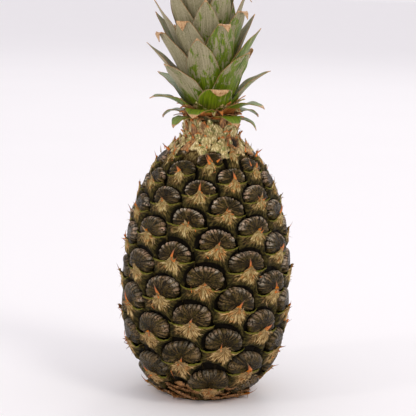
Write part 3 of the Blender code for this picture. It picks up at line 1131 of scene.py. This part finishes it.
def make_scar():
    """The stalk's cut on the base: a shallow cylinder inset into rings and drawn in at its middle."""
    deselect()
    radius = SKIN.side[0][0] - FIT_GAP
    height = 1.4 * MM
    bpy.ops.mesh.primitive_cylinder_add(
        vertices=64, radius=radius, depth=height, location=(0.0, 0.0, height / 2.0)
    )
    made = bpy.context.object
    bpy.ops.object.transform_apply(location=True, rotation=False, scale=False)
    bpy.ops.object.mode_set(mode="EDIT")
    bpy.ops.mesh.select_all(action="DESELECT")
    shell = bmesh.from_edit_mesh(made.data)
    for face in shell.faces:
        face.select = face.normal.z < -0.5
    bmesh.update_edit_mesh(made.data)
    for thickness, depth in SCAR_RINGS:
        bpy.ops.mesh.inset(thickness=thickness * MM, depth=-depth * MM)
    bpy.ops.object.mode_set(mode="OBJECT")
    points = coordinates(made)
    paint(made, out=np.hypot(points[:, 0], points[:, 1]) / radius)
    return made


# ---------------------------------------------------------------- the crown


def around_crown(radius, angle, height):
    """Points round the crown's leaning axis."""
    right = radius * np.sin(angle) - CROWN_LEAN * (height - FRUIT_HEIGHT - FIT_GAP)
    return np.stack((right, -radius * np.cos(angle), height), axis=-1)


def stem_radius(share):
    """The crown stem's radius at a share of its length."""
    return STEM_TOP_RADIUS + (STEM_RADIUS - STEM_TOP_RADIUS) * (1.0 - share) ** STEM_TAPER


def make_stem():
    """The crown's tapering stem, from a ball drawn out to its outline."""
    rings = 26
    made, ring = ball(32, rings)
    points = coordinates(made)
    turn = np.arctan2(points[:, 0], -points[:, 1])
    share = np.clip((rings - 2 - ring) / (rings - 3), 0.0, 1.0)
    radius = stem_radius(share) * (1.0 - 0.02 * (1.0 + np.sin(turn * 9.0)))
    radius = radius * np.where((ring >= rings) | (ring <= 0), 0.0, 1.0)
    radius = radius * np.where(ring == rings - 1, 0.9, 1.0)
    height = FRUIT_HEIGHT + FIT_GAP + STEM_LENGTH * share
    reshape(made, around_crown(radius, turn, height))
    return outwards(made)


def make_foot_scales(chance):
    """Ragged dried scales round the foot of the crown, some curling out and down."""
    scales = Batch(slab(6, 10))
    column, row, side = scales.flat.T
    share = (row + 1.0) / 2.0
    steps = np.linspace(0.0, 1.0, 40)
    for number in range(FOOT_SCALES):
        turn = number * GOLDEN_ANGLE + 1.1
        height = FRUIT_HEIGHT + (0.6 + 8.0 * number / (FOOT_SCALES - 1.0)) * MM
        length = chance.uniform(6.0, 13.0) * MM
        half = chance.uniform(2.6, 5.2) * MM
        start = math.radians(chance.uniform(15.0, 60.0))
        end = math.radians(chance.uniform(40.0, 175.0))
        lean = start + (end - start) * share
        leans = start + (end - start) * steps[:-1]
        radial = np.concatenate(([0.0], np.cumsum(np.sin(leans)) / len(leans))) * length
        rising = np.concatenate(([0.0], np.cumsum(np.cos(leans)) / len(leans))) * length
        radius = stem_radius(0.08) + np.interp(share, steps, radial)
        high = height + np.interp(share, steps, rising)
        offset = np.where(side > 0.0, 0.25, -0.25) * MM
        offset = offset + 0.9 * MM * column * column * chance.uniform(-1.0, 1.0)
        radius = radius + offset * np.cos(lean)
        high = high - offset * np.sin(lean)
        width = half * (1.0 - share**1.6) * (1.0 + 0.12 * np.sin(share * 17.0 + number))
        angle = turn + column * np.maximum(width, 0.12 * MM) / radius
        scales.add(
            around_crown(radius, angle, high),
            across=column * width / MM,
            along=share * length / MM,
            tip=smoothstep(0.3, 0.8, share) * chance.choice((0.3, 0.7, 1.0)),
            tone=chance.uniform(0.55, 1.0),
            hollow=0.0,
        )
    return scales.join()


# Leaves whose dried end has folded back: index, where the fold starts, how far it turns in degrees.
FOLDED_LEAVES = {
    11: (0.80, 150.0),
    18: (0.84, 140.0),
    22: (0.86, 150.0),
    24: (0.88, 120.0),
    27: (0.86, 160.0),
    29: (0.88, 130.0),
    34: (0.90, 120.0),
    38: (0.90, 150.0),
}
# Leaves with their wax rubbed off in patches.
RUBBED_LEAVES = {16: 0.5, 19: 0.35, 24: 0.5, 32: 0.3, 21: 0.6, 29: 0.5, 12: 0.4, 37: 0.4}


def leaf_midline(share, length, base_lean, tip_lean, fold):
    """The leaf's middle line from the stem to the tip, in 240 fine steps: radius, height, lean."""
    rise = LEAF_THICKNESS + (STEM_LENGTH - 2.0 * LEAF_THICKNESS) * share**LEAF_CROWDING
    steps = 240
    along = (np.arange(steps) + 0.5) / steps
    lean = np.radians(base_lean + (tip_lean - base_lean) * along**LEAF_CURL_POWER)
    if fold:
        lean = lean + math.radians(fold[1]) * smoothstep(fold[0] - 0.02, fold[0] + 0.05, along)
    radial = np.concatenate(([0.0], np.cumsum(np.sin(lean)))) * length / steps
    rising = np.concatenate(([0.0], np.cumsum(np.cos(lean)))) * length / steps
    radius = stem_radius(rise / STEM_LENGTH) + 2.0 * FIT_GAP + LEAF_THICKNESS / 2.0 + radial
    height = FRUIT_HEIGHT + FIT_GAP + rise + rising
    return radius, height, np.concatenate((lean[:1], lean))


def make_leaf(index, template, flat, chance):
    """One leaf on its cup: a blade with a keel, thin margins and a pointed, hooked or folded end."""
    crown = bpy.context.scene.pineapple_crown
    share = index / (LEAF_COUNT - 1)
    length = np.interp(share, LEAF_SHARES, LEAF_LENGTHS) * MM
    half_width = np.interp(share, LEAF_SHARES, LEAF_HALF_WIDTHS) * MM
    base_lean = np.interp(share, LEAF_SHARES, LEAF_BASE_LEANS)
    tip_lean = np.interp(share, LEAF_SHARES, LEAF_TIP_LEANS)
    channel = np.interp(share, LEAF_SHARES, LEAF_CHANNELS) * MM
    length *= 1.0 + LEAF_LENGTH_SPREAD * wobble(index, 1)
    turn = FIRST_LEAF_TURN - GOLDEN_ANGLE * index + LEAF_TURN_SPREAD * wobble(index, 2)
    fold = FOLDED_LEAVES.get(index)
    radii, heights, leans = leaf_midline(share, length, base_lean, tip_lean, fold)
    steps = np.linspace(0.0, 1.0, len(radii))
    base_half = min(half_width, BASE_HALF_ANGLE * radii[0])

    column, row, side = flat.T
    along = (row + 1.0) / 2.0
    radius = np.interp(along, steps, radii)
    height = np.interp(along, steps, heights)
    lean = np.interp(along, steps, leans)
    half = base_half + (half_width - base_half) * smoothstep(0.0, 0.34, along)
    half = np.maximum(TIP_HALF_WIDTH * 0.5, half * (1.0 - along**LEAF_TIP_POWER))
    phase = chance.uniform(0.0, WHOLE_PHASE)
    uneven = np.sin(along * 11.0 + phase + np.sign(column)) * smoothstep(0.1, 0.4, along)
    angle = turn + column * half * (1.0 + 0.025 * uneven) / radius
    grown = smoothstep(0.1, 0.5, along)
    lift = channel * column * column * grown * half / half_width
    ripple = 0.25 * MM * np.sin(along * 19.0 + phase) * smoothstep(0.6, 1.0, np.abs(column)) * grown
    keel = 0.35 * MM * np.exp(-((column / 0.16) ** 2)) * grown * (1.0 - along)
    thick = crown.leaf_thickness * (0.22 + 0.78 * np.sqrt(np.maximum(0.0, 1.0 - column * column)))
    thick = thick * (1.0 - 0.6 * smoothstep(0.7, 1.0, along))
    offset = np.where(side > 0.0, 0.5 * thick + keel, -0.5 * thick) - lift + ripple
    radius = np.maximum(radius + offset * np.cos(lean), FIT_GAP)
    height = height - offset * np.sin(lean)

    dry = np.zeros(len(along))
    if fold:
        dry = smoothstep(fold[0] - 0.05, fold[0] + 0.03, along)
    collar = 1.0 - float(smoothstep(0.12, 0.3, share))
    dry = np.maximum(dry, smoothstep(0.9 - 0.2 * collar, 1.02, along) * 0.9)
    width = half * np.abs(column)
    edge = smoothstep(-1.1 * MM, -0.2 * MM, width - half) * smoothstep(0.12, 0.35, along)
    fresh = 0.75 * (1.0 - smoothstep(0.15, 0.62, along)) * (0.5 + 0.5 * collar)
    fresh = np.maximum(fresh, np.where(side > 0.0, 0.0, 0.35))
    fresh = np.maximum(fresh, 0.85 * collar)
    return copy_of(
        template,
        around_crown(radius, angle, height),
        across=column * half / MM,
        along=along * length / MM,
        fresh=fresh,
        dry=dry,
        edge=edge,
        tone=chance.random(),
        rubbed=RUBBED_LEAVES.get(index, 0.0) * smoothstep(0.15, 0.5, along),
        foot=collar * (1.0 - smoothstep(0.12, 0.5, along)),
    )


# ---------------------------------------------------------------- the stage

# The soft lamps: name, place, width, watts, colour.
LAMPS = (
    ("key_light", (1.9, -1.9, 3.2), 1.1, 30.0, (1.0, 0.97, 0.90)),
    ("fill_light", (-2.7, -1.8, 2.2), 0.5, 12.0, (1.0, 0.98, 0.94)),
    ("back_light", (0.9, 3.0, 2.8), 1.2, 14.0, (1.0, 0.99, 0.97)),
)
LAMP_AIM = Vector((0.0, 0.0, 0.12))
ROOM_LIGHT = (0.955, 0.918, 0.955, 1.0)
ROOM_STRENGTH = 0.9
CAMERA_AIM = Vector((-0.3 * MM, 0.0, 120.5 * MM))
CAMERA_LENS = 121.0
CAMERA_ROLL = math.radians(1.9)


def facing(direction):
    """The turn of a lamp or camera that looks that way."""
    return direction.to_track_quat("-Z", "Y")


# ---------------------------------------------------------------- operators


class PINEAPPLE_OT_body(bpy.types.Operator):
    """Adds the fruit's dark body and the stalk's cut on its base"""

    bl_idname = "pineapple.body"
    bl_label = "Fruit Body"

    def execute(self, context):
        body = finished(make_body(), "fruit_body", body_finish())
        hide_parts("fruit")
        finished(make_scar(), "stalk_scar", scar_finish(), SCAR_CREASE)
        return {"FINISHED"}


class PINEAPPLE_OT_eyes(bpy.types.Operator):
    """Adds the eyes: their pleated domes, fibrous bracts and dried tips"""

    bl_idname = "pineapple.eyes"
    bl_label = "Eyes"

    def execute(self, context):
        fruit = context.scene.pineapple_fruit
        chance = random.Random(EYE_SEED)
        eyes = eye_places(chance)
        if len(eyes) < LEAST_EYES:
            raise RuntimeError(f"only {len(eyes)} eyes fit the fruit")
        half = len(eyes) // 2
        domes = dome_finish(fruit)
        for name, group in (("lower_domes", eyes[:half]), ("upper_domes", eyes[half:])):
            finished(make_domes(group, chance), name, domes)
        bracts = bract_finish(fruit)
        for name, group in (("lower_bracts", eyes[:half]), ("upper_bracts", eyes[half:])):
            finished(make_bracts(group, chance), name, bracts)
        finished(make_tips(eyes, chance), "bract_tips", tip_finish(fruit))
        return {"FINISHED"}


class PINEAPPLE_OT_neck(bpy.types.Operator):
    """Adds the small scales and needles round the neck, and the brown scales at the base"""

    bl_idname = "pineapple.neck"
    bl_label = "Neck and Base Scales"

    def execute(self, context):
        scale, dry = neck_finish(), bpy.data.materials["dry_tip"]
        finished(make_neck_scales(random.Random(NECK_SEED)), "neck_scales", scale)
        finished(make_base_scales(random.Random(BASE_SEED)), "base_scales", scale)
        finished(make_neck_needles(random.Random(NEEDLE_SEED)), "neck_needles", dry)
        return {"FINISHED"}


class PINEAPPLE_OT_stem(bpy.types.Operator):
    """Adds the crown's stem and the ragged scales at its foot"""

    bl_idname = "pineapple.stem"
    bl_label = "Crown Stem"

    def execute(self, context):
        stem = finished(make_stem(), "stem", stem_finish())
        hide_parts("crown_stem")
        scales = make_foot_scales(random.Random(FOOT_SEED))
        finished(scales, "foot_scales", bpy.data.materials["neck_scale"])
        return {"FINISHED"}


class PINEAPPLE_OT_leaves(bpy.types.Operator):
    """Adds every leaf of the crown"""

    bl_idname = "pineapple.leaves"
    bl_label = "Leaves"

    def execute(self, context):
        chance = random.Random(LEAF_SEED)
        finish = leaf_finish(context.scene.pineapple_crown)
        template = slab(14, 40)
        flat = coordinates(template)
        for index in range(LEAF_COUNT):
            node = f"collar_leaf_{index + 1:02d}"
            if index >= COLLAR_LEAF_COUNT:
                node = f"crown_leaf_{index + 1 - COLLAR_LEAF_COUNT:02d}"
            leaf = make_leaf(index, template, flat, chance)
            finished(leaf, node.replace("_leaf_", "_blade_"), finish)
            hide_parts(node)
        discard(template)
        return {"FINISHED"}


class PINEAPPLE_OT_stage(bpy.types.Operator):
    """Adds the floor, the soft lights and the camera"""

    bl_idname = "pineapple.stage"
    bl_label = "Stage"

    def execute(self, context):
        stage = context.scene.pineapple_stage
        deselect()
        bpy.ops.mesh.primitive_plane_add(size=stage.floor_size)
        floor = context.object
        floor.name = "floor"
        floor.data.materials.append(floor_finish(stage))

        for name, place, size, power, colour in LAMPS:
            bpy.ops.object.light_add(type="AREA", location=place)
            lamp = context.object
            lamp.name = name
            lamp.data.shape = "DISK"
            lamp.data.size = size
            lamp.data.energy = power
            lamp.data.color = colour
            lamp.rotation_euler = facing(LAMP_AIM - Vector(place)).to_euler()

        world = bpy.data.worlds.new("studio")
        context.scene.world = world
        world.use_nodes = True
        backdrop = world.node_tree.nodes["Background"]
        backdrop.inputs["Color"].default_value = ROOM_LIGHT
        backdrop.inputs["Strength"].default_value = ROOM_STRENGTH

        elevation = stage.camera_elevation
        away = Vector((0.0, -math.cos(elevation), math.sin(elevation)))
        bpy.ops.object.camera_add(location=CAMERA_AIM + stage.camera_distance * away)
        camera = context.object
        camera.name = "studio_camera"
        camera.data.lens = CAMERA_LENS
        camera.data.clip_start, camera.data.clip_end = 0.05, 60.0
        camera.rotation_euler = facing(-away).to_matrix().to_euler()
        camera.rotation_euler.rotate_axis("Z", CAMERA_ROLL)
        context.scene.camera = camera
        context.scene.view_settings.view_transform = "Standard"
        return {"FINISHED"}


class PINEAPPLE_PT_panel(bpy.types.Panel):
    """Lists the steps that build the pineapple"""

    bl_idname = "PINEAPPLE_PT_panel"
    bl_label = "Pineapple"
    bl_space_type = "VIEW_3D"
    bl_region_type = "UI"
    bl_category = "Pineapple"

    def draw(self, context):
        for settings in ("pineapple_fruit", "pineapple_crown", "pineapple_stage"):
            box = self.layout.box()
            group = getattr(context.scene, settings)
            for name in group.__annotations__:
                box.prop(group, name)
        for operator in OPERATORS:
            self.layout.operator(operator.bl_idname)


OPERATORS = (
    PINEAPPLE_OT_body,
    PINEAPPLE_OT_eyes,
    PINEAPPLE_OT_neck,
    PINEAPPLE_OT_stem,
    PINEAPPLE_OT_leaves,
    PINEAPPLE_OT_stage,
)
SETTINGS = {
    "pineapple_fruit": PineappleFruitSettings,
    "pineapple_crown": PineappleCrownSettings,
    "pineapple_stage": PineappleStageSettings,
}


def register():
    for group in SETTINGS.values():
        bpy.utils.register_class(group)
    for operator in OPERATORS:
        bpy.utils.register_class(operator)
    bpy.utils.register_class(PINEAPPLE_PT_panel)
    for name, group in SETTINGS.items():
        setattr(bpy.types.Scene, name, bpy.props.PointerProperty(type=group))


def unregister():
    for name in SETTINGS:
        delattr(bpy.types.Scene, name)
    bpy.utils.unregister_class(PINEAPPLE_PT_panel)
    for operator in reversed(OPERATORS):
        bpy.utils.unregister_class(operator)
    for group in SETTINGS.values():
        bpy.utils.unregister_class(group)


def main():
    register()
    bpy.ops.pineapple.body()
    bpy.ops.pineapple.eyes()
    bpy.ops.pineapple.neck()
    bpy.ops.pineapple.stem()
    bpy.ops.pineapple.leaves()
    bpy.ops.pineapple.stage()


if __name__ == "__main__":
    main()
